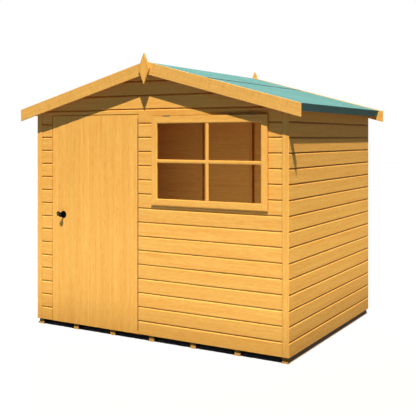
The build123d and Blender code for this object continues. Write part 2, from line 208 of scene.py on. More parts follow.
# %% [markdown]
# ## A floor that keeps the shadow
# The floor works the same way. For the rays that look at it, it is a pale matte sheet: white where the
# sun reaches it, and darker where the shed's shadow lies. For bounced light it is almost black,
# because a white floor would light the boards from below a second time, on top of the strips.

# %% Floor
import bmesh

pale_floor = (0.546, 0.565, 0.6)
floor_for_bounces = (0.006, 0.006, 0.006)
floor_reach = 40

floor_material = bpy.data.materials.new("paper_floor")
floor_material.use_nodes = True
floor_tree = floor_material.node_tree
floor_tree.nodes.remove(floor_tree.nodes["Principled BSDF"])
floor_shades = []
for shade in (floor_for_bounces, pale_floor):
    matte = floor_tree.nodes.new("ShaderNodeBsdfDiffuse")
    matte.inputs["Color"].default_value = (*shade, 1)
    floor_shades.append(matte)
choose_by_ray(floor_tree, *floor_shades, "Material Output")

floor_mesh = bmesh.new()
floor_corners = [(-1, -1), (1, -1), (1, 1), (-1, 1)]
floor_mesh.faces.new([floor_mesh.verts.new((x * floor_reach, y * floor_reach, 0)) for x, y in floor_corners])
floor_data = bpy.data.meshes.new("floor")
floor_mesh.to_mesh(floor_data)
floor_mesh.free()
floor_data.materials.append(floor_material)
floor = bpy.data.objects.new("floor", floor_data)
scene.collection.objects.link(floor)
print("floor", 2 * floor_reach, "m square")

# %% [markdown]
# ## Small tools for finishes
# Every finish on this shed is procedural: no picture is wrapped round it, and its colour, gloss and
# relief are worked out from noise. Nodes can be wired by hand in the editor. In a script the wiring
# gets long, so a few helpers keep it short. One fills the inputs of a node, linking what is a
# socket and typing in what is a number, and the others add a node, a sum or a colour ramp.

# %% Node helpers
def fill_inputs(material, node, **inputs):
    """Link the inputs that are given as sockets, and type in the others."""
    for label, value in inputs.items():
        socket = node.inputs[label.replace("_", " ")]
        if isinstance(value, bpy.types.NodeSocket):
            material.node_tree.links.new(value, socket)
        else:
            socket.default_value = value


def add_node(material, kind, **inputs):
    """Add a shader node and fill its inputs."""
    made = material.node_tree.nodes.new("ShaderNode" + kind)
    fill_inputs(material, made, **inputs)
    return made


def add_math(material, operation, *values):
    """One sum on numbers or sockets, and the socket of its result."""
    made = material.node_tree.nodes.new("ShaderNodeMath")
    made.operation = operation
    for socket, value in zip(made.inputs, values):
        if isinstance(value, bpy.types.NodeSocket):
            material.node_tree.links.new(value, socket)
        else:
            socket.default_value = value
    return made.outputs[0]


def add_ramp(material, amount, stops):
    """A colour ramp through the given (position, colour) stops."""
    made = add_node(material, "ValToRGB", Fac=amount)
    points = made.color_ramp.elements
    while len(points) < len(stops):
        points.new(0.5)
    for point, (position, colour) in zip(points, stops):
        point.position = position
        point.color = (*colour, 1)
    return made.outputs["Color"]


def start_material(name):
    """A new node material, its main shader and a socket with the place on the object."""
    material = bpy.data.materials.new(name)
    material.use_nodes = True
    place = add_node(material, "TexCoord").outputs["Object"]
    print("finish", name)
    return material, material.node_tree.nodes["Principled BSDF"], place


print("helpers for nodes, sums, ramps and new finishes made")

# %% [markdown]
# ## Honey-stained softwood
# Dip-treated spruce is a warm honey colour with fine fibres, small flecks, broad soft streaks and the
# curved lines of the growth rings. A picture of wood would repeat from board to board, so noise is
# used, stretched along the fibres. Grain follows the board and not the world: each board carries its
# own coordinates in an attribute called grain, with the first number along the fibres. A tone
# attribute makes one board a shade darker than the next. One more attribute is above zero on eased
# edges, where the stain is rubbed thin, and below zero where shade is painted into the colour: in the
# coves, on the bearers' sides, beside the corner strips and on the sash. Towards the ground the
# wood is painted darker too, a painted shade, and a sawn board also has marks across it.

# %% Stained wood
tone_share = 0.03
rub_and_shade_share = 0.05
# Heights between which the wood is painted darker towards the ground, a painted shade.
foot_shade_low, foot_shade_high = 0.05, 0.3
foot_shade_darkest = 0.885
fleck_part, fibre_part, ring_part = 0.6, 0.2, 0.2
ring_contrast, ring_middle = 0.22, 0.39
darkest_at, lightest_at = 0.36, 0.64


def stained_wood(name, dark, light, streak_share, relief, saw_share=0.0):
    """Stained softwood that follows the grain attribute of each board."""
    material, shader, place = start_material(name)

    def read_attribute(attribute, output):
        made = add_node(material, "Attribute")
        made.attribute_name = attribute
        return made.outputs[output]

    def stretched_noise(along, across, detail):
        laid = add_node(material, "Mapping", Vector=grain, Scale=(along, across, across)).outputs[0]
        noise = add_node(material, "TexNoise", Vector=laid, Scale=1, Detail=detail, Roughness=0.6)
        return noise.outputs["Fac"]

    grain = read_attribute("grain", "Vector")
    fibres = stretched_noise(along=9, across=330, detail=3)
    flecks = stretched_noise(along=16, across=90, detail=2)
    streaks = stretched_noise(along=1.3, across=38, detail=3)
    drawn_out = add_node(material, "Mapping", Vector=grain, Scale=(0.07, 1, 1)).outputs[0]
    rings = add_node(material, "TexWave", Vector=drawn_out, Scale=20, Distortion=7, Detail=2)
    rings.bands_direction = "Y"
    soft_rings = add_math(material, "MULTIPLY_ADD", rings.outputs["Fac"], ring_contrast, ring_middle)

    fine_share = 1 - streak_share
    mixed = add_math(material, "MULTIPLY_ADD", streaks, streak_share, 0)
    mixed = add_math(material, "MULTIPLY_ADD", flecks, fine_share * fleck_part, mixed)
    mixed = add_math(material, "MULTIPLY_ADD", fibres, fine_share * fibre_part, mixed)
    mixed = add_math(material, "MULTIPLY_ADD", soft_rings, fine_share * ring_part, mixed)
    if saw_share:
        saw_marks = stretched_noise(along=95, across=6, detail=2)
        mixed = add_math(material, "MULTIPLY_ADD", saw_marks, saw_share, mixed)
        mixed = add_math(material, "SUBTRACT", mixed, saw_share / 2)
    colour = add_ramp(material, mixed, [(darkest_at, dark), (lightest_at, light)])

    value = add_math(material, "MULTIPLY_ADD", read_attribute("tone", "Fac"), tone_share, 1.0)
    # Above zero this lightens rubbed edges; below zero it is painted shade.
    value = add_math(material, "MULTIPLY_ADD", read_attribute("rubbed_and_shaded", "Fac"), rub_and_shade_share, value)
    # Painted shade: the wood is darker towards the ground, fading out higher up.
    height_up = add_node(material, "SeparateXYZ", Vector=place).outputs["Z"]
    foot_shade = add_node(material, "MapRange", Value=height_up, From_Min=foot_shade_low, From_Max=foot_shade_high,
                      To_Min=foot_shade_darkest, To_Max=1)
    value = add_math(material, "MULTIPLY", value, foot_shade.outputs["Result"])
    shaded = add_node(material, "HueSaturation", Value=value, Color=colour)

    height = add_math(material, "MULTIPLY_ADD", mixed, 0.5, add_math(material, "MULTIPLY", fibres, 0.5))
    bump = add_node(material, "Bump", Height=height, Strength=0.5, Distance=relief)
    roughness = add_math(material, "MULTIPLY_ADD", fibres, 0.25, 0.5)
    fill_inputs(material, shader, Base_Color=shaded.outputs["Color"], Roughness=roughness,
                Normal=bump.outputs["Normal"], Specular_IOR_Level=0.12)
    return material


print("painted shade darkens the wood up to", foot_shade_high, "m above the ground")

# %% [markdown]
# ## Three woods
# One function gives all the wood, so that it looks like one delivery from the mill. The boards and
# the window are planed and have soft streaks. The bargeboards are sawn, so their relief is
# deeper and the marks of the blade cross the grain. The battens are cheaper stuff with broad streaks.
# Each wood is given as its darkest and its lightest colour, the share of streaks and the relief.

# %% Boards, bargeboards and battens
board_wood = stained_wood("honey_board", (0.755, 0.332, 0.058), (0.865, 0.479, 0.106), 0.4, 0.0006)
sawn_wood = stained_wood("sawn_bargeboard", (0.69, 0.353, 0.076), (0.845, 0.453, 0.105), 0.3, 0.0009, 0.5)
frame_wood = stained_wood("frame_batten", (0.66, 0.32, 0.062), (0.82, 0.43, 0.10), 0.5, 0.0008)

# %% [markdown]
# ## A saw
# A joiner cuts a board with a saw: the cut is flat, one side falls away, and the end is closed wood.
# A boolean with a large block does the same, but it is slow and can leave stray slivers. A plane is
# simpler. Blender splits the mesh along it, drops what lies beyond, and the open rim is filled.

# %% Cut with a plane
same_place = 0.00001


def trim(solid, point, outward):
    """Cut off what lies beyond a plane and close the cut."""
    geometry = solid.verts[:] + solid.edges[:] + solid.faces[:]
    cut = bmesh.ops.bisect_plane(
        solid, geom=geometry, dist=same_place, plane_co=point, plane_no=outward, clear_outer=True
    )
    rim = [part for part in cut["geom_cut"] if isinstance(part, bmesh.types.BMEdge)]
    bmesh.ops.holes_fill(solid, edges=rim)


print("a cut takes corners within", same_place * 1000, "mm of its plane as lying on it")

# %% [markdown]
# ## One board at a time
# A wall of shiplap is not a panel with lines drawn on it: it is a stack of long boards, each one a
# solid of its own. A board could be a cube that is scaled and shaped by modifiers. Here a helper takes
# the two end outlines of a board and joins them into a closed prism, because an outline can
# hold the lip and the hollow at once. It then trims the prism where a slope or an opening cuts
# it, and stores the grain. A board that is cut in two by the window keeps the same grain on both
# sides, because the grain is drawn from the board's own name.

# %% Timber helper
import random

grain_shift = 40


class Timber:
    """A mesh made board by board, with grain, tone, rubbed edges and painted shade stored on it."""

    def __init__(self, source=None):
        self.mesh = bmesh.new()
        if source:
            self.mesh.from_mesh(source)
        self.grain = self.mesh.verts.layers.float_vector.new("grain")
        self.tone = self.mesh.verts.layers.float.new("tone")
        self.rubbed_and_shaded = self.mesh.faces.layers.float.new("rubbed_and_shaded")

    def store_grain(self, verts, key, axes):
        """Give these corners the grain of the board called key, whose fibres run along the first axis."""
        dice = random.Random(key)
        shift = Vector([dice.uniform(0, grain_shift) for axis in axes])
        tone = dice.uniform(-1, 1)
        for vert in verts:
            vert[self.grain] = Vector([vert.co.dot(axis) for axis in axes]) + shift
            vert[self.tone] = tone

    def board(self, near, far, key, axes, cuts=(), rub_and_shade=()):
        """Join two matching outlines into a closed board, cut it with planes and add it to the mesh."""
        solid = bmesh.new()
        solid_rubbed_and_shaded = solid.faces.layers.float.new("rubbed_and_shaded")
        near = [solid.verts.new(point) for point in near]
        far = [solid.verts.new(point) for point in far]
        solid.faces.new(near)
        solid.faces.new(far[::-1])
        sides = []
        for index in range(len(near)):
            after = (index + 1) % len(near)
            sides.append(solid.faces.new((near[after], near[index], far[index], far[after])))
        # Amounts above zero mark rubbed faces, and below zero painted shade.
        for index, amount in rub_and_shade:
            sides[index][solid_rubbed_and_shaded] = amount
        for point, outward in cuts:
            trim(solid, point, outward)
        copies = {vert: self.mesh.verts.new(vert.co) for vert in solid.verts}
        for face in solid.faces:
            copy = self.mesh.faces.new([copies[vert] for vert in face.verts])
            copy[self.rubbed_and_shaded] = face[solid_rubbed_and_shaded]
        self.store_grain(copies.values(), key, axes)
        solid.free()


print("each board starts its grain somewhere within", grain_shift, "m of wood")

# %% [markdown]
# ## Setting a piece down
# A finished mesh becomes a piece of the shed in a few steps. It rides on a body, so the door's
# boards swing with the door, it gets its material, and the plain solids that it stands for are
# hidden. Faces are shaded smooth, so that hollows and rounds look round,
# and every edge that turns sharply is marked as sharp, so that flat faces stay flat.

# %% Set a piece down
sharp_from = radians(18)


def set_down(mesh, name, body, slot, material, *nodes):
    """Turn a finished mesh into a piece that rides on a body and stands for CAD nodes."""
    bmesh.ops.recalc_face_normals(mesh, faces=mesh.faces[:])
    for face in mesh.faces:
        face.smooth = True
    for edge in mesh.edges:
        edge.smooth = len(edge.link_faces) == 2 and edge.calc_face_angle() < sharp_from
    data = bpy.data.meshes.new(name)
    mesh.to_mesh(data)
    mesh.free()
    data.materials.append(material)
    piece = bpy.data.objects.new(name, data)
    scene.collection.objects.link(piece)
    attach(piece, body)
    if nodes:
        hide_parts(*nodes)
    print(name, "made with", len(data.polygons), "faces on", body)


print("edges are sharp from", round(sharp_from, 3), "radians on")

# %% [markdown]
# ## Shiplap
# Each board shows about 115 mm. Its lower edge is a lip that overhangs the board below, and its upper
# edge is scooped out in a hollow, the cove, that runs up into a tongue behind the next lip. The lip
# throws the dark line and the cove catches the bright one. Both could be painted on, but then they
# would not turn with the light, so they come from the outline. The upper part of the cove is also
# painted darker, a painted shade that deepens the dark line. Sixteen boards reach from the
# wall's foot to the foot of the gable.

# %% Shiplap outline
from math import cos, pi, sin

wall_low, wall_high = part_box("right_wall")
gable_low, gable_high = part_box("front_gable")
board_thickness = gable_high.y - gable_low.y
boards_to_gable = 16
wall_foot = wall_low.z
board_cover = (gable_low.z - wall_foot) / boards_to_gable

lip = 0.008
cove_height = 0.017
tongue = 0.008
ease = 0.0012
slack = 0.0003
cove_steps = 6
cove_flatness = 1.3
eased_side = 0
# Sides of the outline in the upper cove, where shade is painted in.
deep_cove_sides = range(5, 9)


def shiplap_outline(foot):
    """Points (depth behind the face, height) round one shiplap board that stands on foot."""
    head = foot + board_cover
    points = [(ease, foot), (0, foot + ease)]
    for step in range(cove_steps + 1):
        turn = pi / 2 * step / cove_steps
        depth = lip * abs(sin(turn)) ** cove_flatness
        drop = cove_height * abs(cos(turn)) ** cove_flatness
        points.append((depth, head - drop))
    points += [(lip, head + tongue), (board_thickness, head + tongue)]
    points += [(board_thickness, foot + tongue + slack), (lip - slack, foot + tongue + slack)]
    return points + [(lip - slack, foot)]


def shiplap_rub_and_shade(painted_shade):
    """Rubbed lip and painted shade in the cove, as (side of the outline, amount)."""
    return [(eased_side, 1)] + [(side, -painted_shade) for side in deep_cove_sides]


print("shiplap boards show", round(board_cover * 1000, 1), "mm each")

# %% [markdown]
# ## Boarding a wall
# The four walls are boarded by one helper. It gets the regions of a wall that have boards, and a
# small function that says where a point lies in the room when its run along the wall, its depth
# behind the face and its height are known. The roof's slope is read from the gable's corners,
# and two planes along it trim the top boards. The painted shade in the coves differs from wall to wall.

# %% Cladding helper
along_x, along_y, along_z = Vector((1, 0, 0)), Vector((0, 1, 0)), Vector((0, 0, 1))
corner_reach = 0.001
nearly_none = 0.01

gable_corners = [corner.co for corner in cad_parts["front_gable"].data.vertices]
gable_shoulder = max(place.z for place in gable_corners if abs(place.x) > gable_high.x - corner_reach)
slope = (gable_high.z - gable_shoulder) / gable_high.x
roof_cuts = [((0, 0, gable_high.z), Vector((side * slope, 0, 1)).normalized()) for side in (-1, 1)]


def clad(name, to_room, regions, painted_shade, *nodes):
    """Board the regions (left, right, bottom, top) of one wall; to_room places (run, depth, height)."""
    wall = Timber()
    run_axis = (Vector(to_room(1, 0, 0)) - Vector(to_room(0, 0, 0))).normalized()
    axes = (run_axis, along_z, run_axis.cross(along_z))
    for left, right, bottom, top in regions:
        first = int((bottom - wall_foot) / board_cover + nearly_none)
        count = int((top - wall_foot) / board_cover + 1 - nearly_none)
        for number in range(first, count):
            foot = wall_foot + number * board_cover
            outline = shiplap_outline(foot)
            cuts = []
            if bottom > foot + ease:
                cuts.append((Vector((0, 0, bottom)), -along_z))
            if top < foot + board_cover - ease:
                cuts.append((Vector((0, 0, top)), along_z))
            if foot + board_cover + tongue > gable_shoulder - board_thickness:
                cuts += roof_cuts
            near = [to_room(left, depth, height) for depth, height in outline]
            far = [to_room(right, depth, height) for depth, height in outline]
            wall.board(near, far, f"{name} {number}", axes, cuts, shiplap_rub_and_shade(painted_shade))
    set_down(wall.mesh, name, "shed", "cladding", board_wood, *nodes)


print("roof rises", round(slope, 3), "m for each metre")

# %% [markdown]
# ## The four walls
# The front is boarded in regions round the door and the window: the boards under the window run right
# across, and those beside it are short. One could board the whole front and cut the openings out
# afterwards, but regions give clean ends. The other walls have no openings, so one region covers
# each, and the gable ends of the front and the back are trimmed by the roof.

# %% Walls
door_low, door_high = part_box("door_panel")
window_low, window_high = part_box("front_wall_below_window")
head_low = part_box("front_wall_head")[0]
doorway_left, doorway_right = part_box("front_wall_left")[1].x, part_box("front_wall_middle")[0].x
door_head = door_high.z + door_low.x - doorway_left
sill_line = wall_foot + int((window_high.z - wall_foot) / board_cover) * board_cover
front_regions = [
    (gable_low.x, doorway_left, wall_foot, gable_low.z),
    (doorway_right, gable_high.x, wall_foot, sill_line),
    (window_low.x, window_high.x, sill_line, window_high.z),
    (doorway_right, window_low.x, sill_line, gable_low.z),
    (window_high.x, gable_high.x, sill_line, gable_low.z),
    (doorway_left, doorway_right, door_head, gable_low.z),
    (window_low.x, window_high.x, head_low.z, gable_low.z),
    (gable_low.x, gable_high.x, gable_low.z, gable_high.z),
]
front_nodes = ["front_wall_left", "front_wall_middle", "front_wall_below_window", "front_wall_right",
               "front_wall_head", "front_gable"]
front_y, back_y = wall_low.y, wall_high.y
half_width = wall_high.x
full_end = [(gable_low.x, gable_high.x, wall_foot, gable_high.z)]
full_side = [(front_y, back_y, wall_foot, wall_high.z)]
# Painted shade in the coves, deepest on the side walls.
front_painted_shade, back_painted_shade, side_wall_painted_shade = 4, 7, 12

clad("front_boards", lambda run, depth, z: (run, front_y + depth, z),
     front_regions, front_painted_shade, *front_nodes)
clad("back_boards", lambda run, depth, z: (run, back_y - depth, z),
     full_end, back_painted_shade, "back_wall")
clad("left_boards", lambda run, depth, z: (depth - half_width, run, z),
     full_side, side_wall_painted_shade, "left_wall")
clad("right_boards", lambda run, depth, z: (half_width - depth, run, z),
     full_side, side_wall_painted_shade, "right_wall")

# %% [markdown]
# ## Eased timber
# Battens, cover strips, bargeboards and bearers are plain straight lengths, but no timber has razor
# edges. A bevel modifier would round them and stay adjustable. Here the bevel is made in the
# mesh itself, because its new faces are then at hand and can be marked as worn. Each solid is
# copied, its triangles are merged back into flat faces, and every edge gets a small bevel.

# %% Ease the edges
flat_below = radians(1)
corner_from = radians(10)
ease_steps = 2


def ease_edges(timber, width):
    """Merge triangles into flat faces, bevel the edges and mark the bevels as rubbed."""
    mesh = timber.mesh
    bmesh.ops.remove_doubles(mesh, verts=mesh.verts[:], dist=same_place)
    bmesh.ops.dissolve_limit(mesh, angle_limit=flat_below, verts=mesh.verts[:], edges=mesh.edges[:])
    corners = [edge for edge in mesh.edges if edge.calc_face_angle(0) > corner_from]
    rounded = bmesh.ops.bevel(
        mesh, geom=corners, offset=width, segments=ease_steps, profile=0.5, affect="EDGES", clamp_overlap=True
    )
    for face in rounded["faces"]:
        face[timber.rubbed_and_shaded] = 1


print("an edge is eased where its faces turn by", round(corner_from, 3), "radians or more")

# %% [markdown]
# ## Which way the fibres run
# A node may hold several lengths, such as four studs, and each one needs its own grain. They are
# found by walking from corner to corner along the edges, which never leaves a solid. The fibres of a
# length run along its longest direction. A box round it would do for lengths that stand square, but
# rafters and braces slant, so the direction comes from the spread of the corners.

# %% Lengths and their axes
import numpy


def loose_lengths(mesh):
    """The separate solids of a mesh, each as a list of its corners, in the mesh's own order."""
    reached = set()
    for first in mesh.verts:
        if first in reached:
            continue
        reached.add(first)
        group, waiting = [], [first]
        while waiting:
            vert = waiting.pop()
            group.append(vert)
            for edge in vert.link_edges:
                other = edge.other_vert(vert)
                if other not in reached:
                    reached.add(other)
                    waiting.append(other)
        yield group


def longest_axes(verts):
    """Three square axes of a solid, the longest first."""
    places = numpy.array([vert.co[:] for vert in verts])
    spread = numpy.linalg.svd(places - places.mean(0), full_matrices=False)[2]
    return [Vector(axis) for axis in spread]


def eased_copy(node, body, slot, material, width, stain=None):
    """A copy of a CAD node with eased edges and grain along each of its lengths."""
    timber = Timber(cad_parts[node].data)
    ease_edges(timber, width)
    if stain:
        stain(timber)
    for number, verts in enumerate(loose_lengths(timber.mesh)):
        timber.store_grain(verts, f"{node} {number}", longest_axes(verts))
    set_down(timber.mesh, f"{node}_timber", body, slot, material, node)


rafter_mesh = bmesh.new()
rafter_mesh.from_mesh(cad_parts["gable_rafters"].data)
bmesh.ops.remove_doubles(rafter_mesh, verts=rafter_mesh.verts[:], dist=same_place)
print("rafters found in one node:", len(list(loose_lengths(rafter_mesh))))
rafter_mesh.free()

# %% [markdown]
# ## Bargeboards and finials
# Bargeboards close the ends of the roof along both gables, and a pointed finial covers the joint at each
# peak. Their shapes are complete in the solids, with mitres at the ridge and plumb cuts at
# the ends, so they are copied and eased, not built again. The bargeboards are sawn and not
# planed, so they wear the finish with marks across the grain.

# %% Bargeboards and finials
board_ease = 0.002
for end in ("front", "back"):
    for side in ("left", "right"):
        eased_copy(f"{end}_bargeboard_{side}", "shed", "cladding", sawn_wood, board_ease)
eased_copy("finials", "shed", "cladding", board_wood, board_ease)

# %% [markdown]
# ## Painted shade on the bearers and the corner strips
# The sides of the bearers stand back under the boards, so they are painted nearly black above a low
# line, a painted shade, and only a thin strip at their foot keeps the wood's colour. The edges of
# the corner strips that face the middle of the wall are painted darker, a painted shadow beside each
# strip. Such marks could be painted by a mask in the material. They are stored on the faces instead,
# in the attribute for wear and shade, because each mark ends where a face ends.

# %% Stained bearers and corner strips
# Painted shade on the bearers' sides, from this height up, leaving a thin strip at the foot.
shade_starts_at = 0.007
bearer_side_shade = 18.5
sideways_from = 0.9
# Painted shadow along the inner edges of the corner strips, deeper on the right one.
strip_painted_shade = {-1: 5, 1: 18}
turned_in_from = 0.3
frame_ease = 0.0015


def shade_bearer_sides(timber):
    """Paint shade on the long upright sides above a low line, where the boards above shade them."""
    mesh = timber.mesh
    geometry = mesh.verts[:] + mesh.edges[:] + mesh.faces[:]
    bmesh.ops.bisect_plane(mesh, geom=geometry, plane_co=(0, 0, shade_starts_at), plane_no=along_z)
    for face in mesh.faces:
        face.normal_update()
        if abs(face.normal.x) > sideways_from and face.calc_center_median().z > shade_starts_at:
            face[timber.rubbed_and_shaded] = -bearer_side_shade


def shadow_inner_edges(timber):
    """Paint a shadow on the strips' edges that face the middle of the wall."""
    for face in timber.mesh.faces:
        face.normal_update()
        outward = 1 if face.calc_center_median().x > 0 else -1
        if face.normal.x * outward < -turned_in_from:
            face[timber.rubbed_and_shaded] = -strip_painted_shade[outward]


eased_copy("corner_strips", "shed", "cladding", board_wood, board_ease, shadow_inner_edges)
eased_copy("floor_bearers", "shed", "framing", frame_wood, frame_ease, shade_bearer_sides)

# %% [markdown]
# ## The frames
# Behind the boards stand battens: studs and rails in each wall, rafters in the gables, rails
# under the roof, and stiles, ledges and braces on the door. They show through the window and when
# the door is open. All are plain lengths of the same kind, so they could be scaled cubes, but their
# solids already have the right cuts. Two loops ease them, and the door's own frame rides on the door.

# %% Frames of the shed and the door
shed_frame = ["gable_rafters", "roof_rails"]
for wall in ("front", "back", "left", "right"):
    shed_frame += [f"{wall}_wall_studs", f"{wall}_wall_rails"]
for node in shed_frame:
    eased_copy(node, "shed", "framing", frame_wood, frame_ease)
for node in ("door_stiles", "door_rails", "door_braces"):
    eased_copy(node, "door", "framing", frame_wood, frame_ease)

# %% [markdown]
# ## The door's face
# The door is faced with the same boards as the walls, set upright. Each has a shallow hollow down its
# right edge, and because the sun comes from that side, the hollows show as faint pale lines and
# not as dark ones. The boards start from a cut one at the latch side, as the lines in the photograph
# do, so the one at the hinge side is cut as well.

# %% Door boards
first_door_board = 0.0595
door_cove_width = 0.018
door_cove_depth = 0.0026
door_cove_shares = (0, 0.35, 0.7, 1)
door_cove_curve = 1.2
hairline = 0.0007


def upright_board(left, right, front, back):
    """Outline (x, y) of an upright board with an eased left edge and a hollow at the right one."""
    points = [(left, back), (left, front + hairline), (left + hairline, front)]
    for share in door_cove_shares:
        across = right - door_cove_width * (1 - share)
        points.append((across, front + door_cove_depth * share ** door_cove_curve))
    return points + [(right, back)]


door_edges = [door_low.x]
while door_edges[-1] + board_cover < door_high.x:
    door_edges.append(door_low.x + first_door_board + board_cover * (len(door_edges) - 1))
door_edges.append(door_high.x)

upright_axes = (along_z, along_x, along_y)
door_face = Timber()
for number, (left, right) in enumerate(zip(door_edges, door_edges[1:])):
    outline = upright_board(left, right, door_low.y, door_high.y)
    ends = [[(x, y, z) for x, y in outline] for z in (door_low.z, door_high.z)]
    door_face.board(*ends, f"door board {number}", upright_axes, rub_and_shade=((1, 1),))
set_down(door_face.mesh, "door_boards", "door", "cladding", board_wood, "door_panel")
print("door boards meet at", [round(edge, 3) for edge in door_edges])

# %% [markdown]
# ## Floor boards
# Inside, the floor is boarded too. The boards lie across the bearers, so they run along the front.
# Their upper edges are eased by less than a millimetre, which is enough for a fine dark line at
# each joint, and a hair's breadth is left between them so that no two faces lie in one place.

# %% Floor boards
deck_low, deck_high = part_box("floor_deck")
floor_boards_deep = 16
deck_step = (deck_high.y - deck_low.y) / floor_boards_deep

deck = Timber()
for number in range(floor_boards_deep):
    near_y = deck_low.y + number * deck_step
    far_y = near_y + deck_step - slack
    outline = [(near_y, deck_low.z), (near_y, deck_high.z - hairline), (near_y + hairline, deck_high.z),
               (far_y - hairline, deck_high.z), (far_y, deck_high.z - hairline), (far_y, deck_low.z)]
    ends = [[(x, y, z) for y, z in outline] for x in (deck_low.x, deck_high.x)]
    deck.board(*ends, f"floor board {number}", (along_x, along_y, along_z), rub_and_shade=((1, 1), (3, 1)))
set_down(deck.mesh, "floor_boards", "shed", "framing", frame_wood, "floor_deck")
print("floor boards are", round(deck_step * 1000), "mm wide")

# %% [markdown]
# ## Roof boards
# The roof is boarded from gable to gable, and its underside shows at the eaves and from inside. The
# joints are small vees. Each slope is divided into equal steps between its ridge and its eave, on
# the upper and the lower face alike, so the boards at the two ends take the bevels of the solid.

# %% Roof boards
roof_boards_down = 13
joint_share = 0.003
vee = 0.002
vee_wear = ((2, -4), (4, -4))
for side, side_name in ((-1, "left"), (1, "right")):
    roof_node = f"roof_boards_{side_name}"
    roof_low, roof_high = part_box(roof_node)
    reach = max(abs(roof_low.x), abs(roof_high.x))
    eave_run = (gable_high.z - roof_low.z) / slope
    upper = [Vector((0, 0, roof_high.z)), Vector((side * reach, 0, roof_high.z - slope * reach))]
    lower = [Vector((0, 0, gable_high.z)), Vector((side * eave_run, 0, roof_low.z))]
    down_slope = (lower[1] - lower[0]).normalized()
    square_off = Vector((-down_slope.z, 0, down_slope.x)) * side
    covering = Timber()
    for number in range(roof_boards_down):
        shares = (number / roof_boards_down, (number + 1 - joint_share) / roof_boards_down)
        top = [upper[0].lerp(upper[1], share) for share in shares]
        under = [lower[0].lerp(lower[1], share) for share in shares]
        outline = [top[0], top[1], under[1] + square_off * vee, under[1] - down_slope * vee,
                   under[0] + down_slope * vee, under[0] + square_off * vee]
        ends = [[(point.x, y, point.z) for point in outline] for y in (roof_low.y, roof_high.y)]
        axes = (along_y, down_slope, square_off)
        covering.board(*ends, f"roof {side_name} {number}", axes, rub_and_shade=vee_wear)
    set_down(covering.mesh, f"roof_planks_{side_name}", "shed", "framing", frame_wood, roof_node)

# %% [markdown]
# ## Outlines of the window
# A sash is four lengths of timber round the glass. Each has an eased outer edge, a moulded
# inner edge in front of the glass and a rebate behind it, which all fit in one outline. The two glazing
# bars that divide it in four are planted on the glass: a rounded half in front and a narrow flat
# bead behind.

# %% Sash and bar outlines
sash_low, sash_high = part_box("window_sash")
glass_low, glass_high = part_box("window_glass")
glass_lap = 0.008
pane_left, pane_right = glass_low.x + glass_lap, glass_high.x - glass_lap
pane_foot, pane_head = glass_low.z + glass_lap, glass_high.z - glass_lap
moulding = 0.006
shoulder_in, shoulder_back = 0.3, 0.35
bar_width = 0.028
bar_setback = 0.001
bar_steps = 8
bar_squareness = 0.3
bead_width = 0.012
bead_depth = 0.007


def sash_outline(outer, inner):
    """Outline (across, y) of a sash member: eased outside, moulded in front of the glass, rebated behind."""
    inward = 1 if inner > outer else -1
    face, back = sash_low.y, sash_high.y
    rebate = inner - inward * glass_lap
    return [(outer, back), (outer, face + ease), (outer + inward * ease, face),
            (inner - inward * moulding, face),
            (inner - inward * moulding * shoulder_in, face + moulding * shoulder_back),
            (inner, face + moulding), (inner, glass_low.y), (rebate, glass_low.y), (rebate, back)]


def bar_outlines(middle):
    """Outlines (across, y) of a glazing bar: a rounded half in front of the glass, a flat one behind."""
    depth = glass_low.y - sash_low.y - bar_setback
    front = []
    for step in range(bar_steps + 1):
        turn = pi * step / bar_steps
        bulge = depth * abs(sin(turn)) ** bar_squareness
        front.append((middle - bar_width / 2 * cos(turn), glass_low.y - bulge))
    half = bead_width / 2
    bead_back = glass_high.y + bead_depth
    behind = [(middle - half, glass_high.y), (middle + half, glass_high.y),
              (middle + half, bead_back - ease), (middle + half - ease, bead_back),
              (middle - half + ease, bead_back), (middle - half, bead_back - ease)]
    return front, behind


print("each pane is", round((pane_right - pane_left - bar_width) / 2, 3), "m wide")

# %% [markdown]
# ## Joining the sash
# Where two moulded lengths meet, butted ends would leave the moulding with a step, so the four lengths
# are mitred, and the moulding runs round the glass without a break. A mitre is only one more
# plane through a board. One more plane cuts a drip along the foot of the sash, which throws
# rain clear of the boards. The ledge at the top is painted dark, a painted shade that also keeps it
# from bouncing sunlight on to the boards above, and the stiles' outer sides a little darker.

# %% Mitred sash
drip_height = 0.01
drip_depth = 0.009
drip_edge = Vector((0, sash_low.y, sash_low.z + drip_height))
drip_cut = (drip_edge, Vector((0, -drip_height, -drip_depth)).normalized())
# Painted shade on the outer sides of the stiles and on the ledge at the top of the sash.
stile_painted_shade = 1
ledge_painted_shade = 12
level_axes = (along_x, along_z, along_y)


def mitre(side, level, towards_rail):
    """The cut from an outer corner of the sash to the glass: its point and the way off the kept length."""
    corner = Vector((sash_high.x if side > 0 else sash_low.x, 0, sash_high.z if level > 0 else sash_low.z))
    inner = Vector((pane_right if side > 0 else pane_left, 0, pane_head if level > 0 else pane_foot))
    reach = inner - corner
    return corner, Vector((-side * abs(reach.z), 0, level * abs(reach.x))).normalized() * towards_rail


sash = Timber()
for side, outer, inner in ((-1, sash_low.x, pane_left), (1, sash_high.x, pane_right)):
    outline = sash_outline(outer, inner)
    ends = [[(x, y, z) for x, y in outline] for z in (sash_low.z, sash_high.z)]
    cuts = [mitre(side, level, 1) for level in (-1, 1)] + [drip_cut]
    sash.board(*ends, f"sash stile {outer}", upright_axes, cuts, rub_and_shade=((0, -stile_painted_shade), (1, 1)))
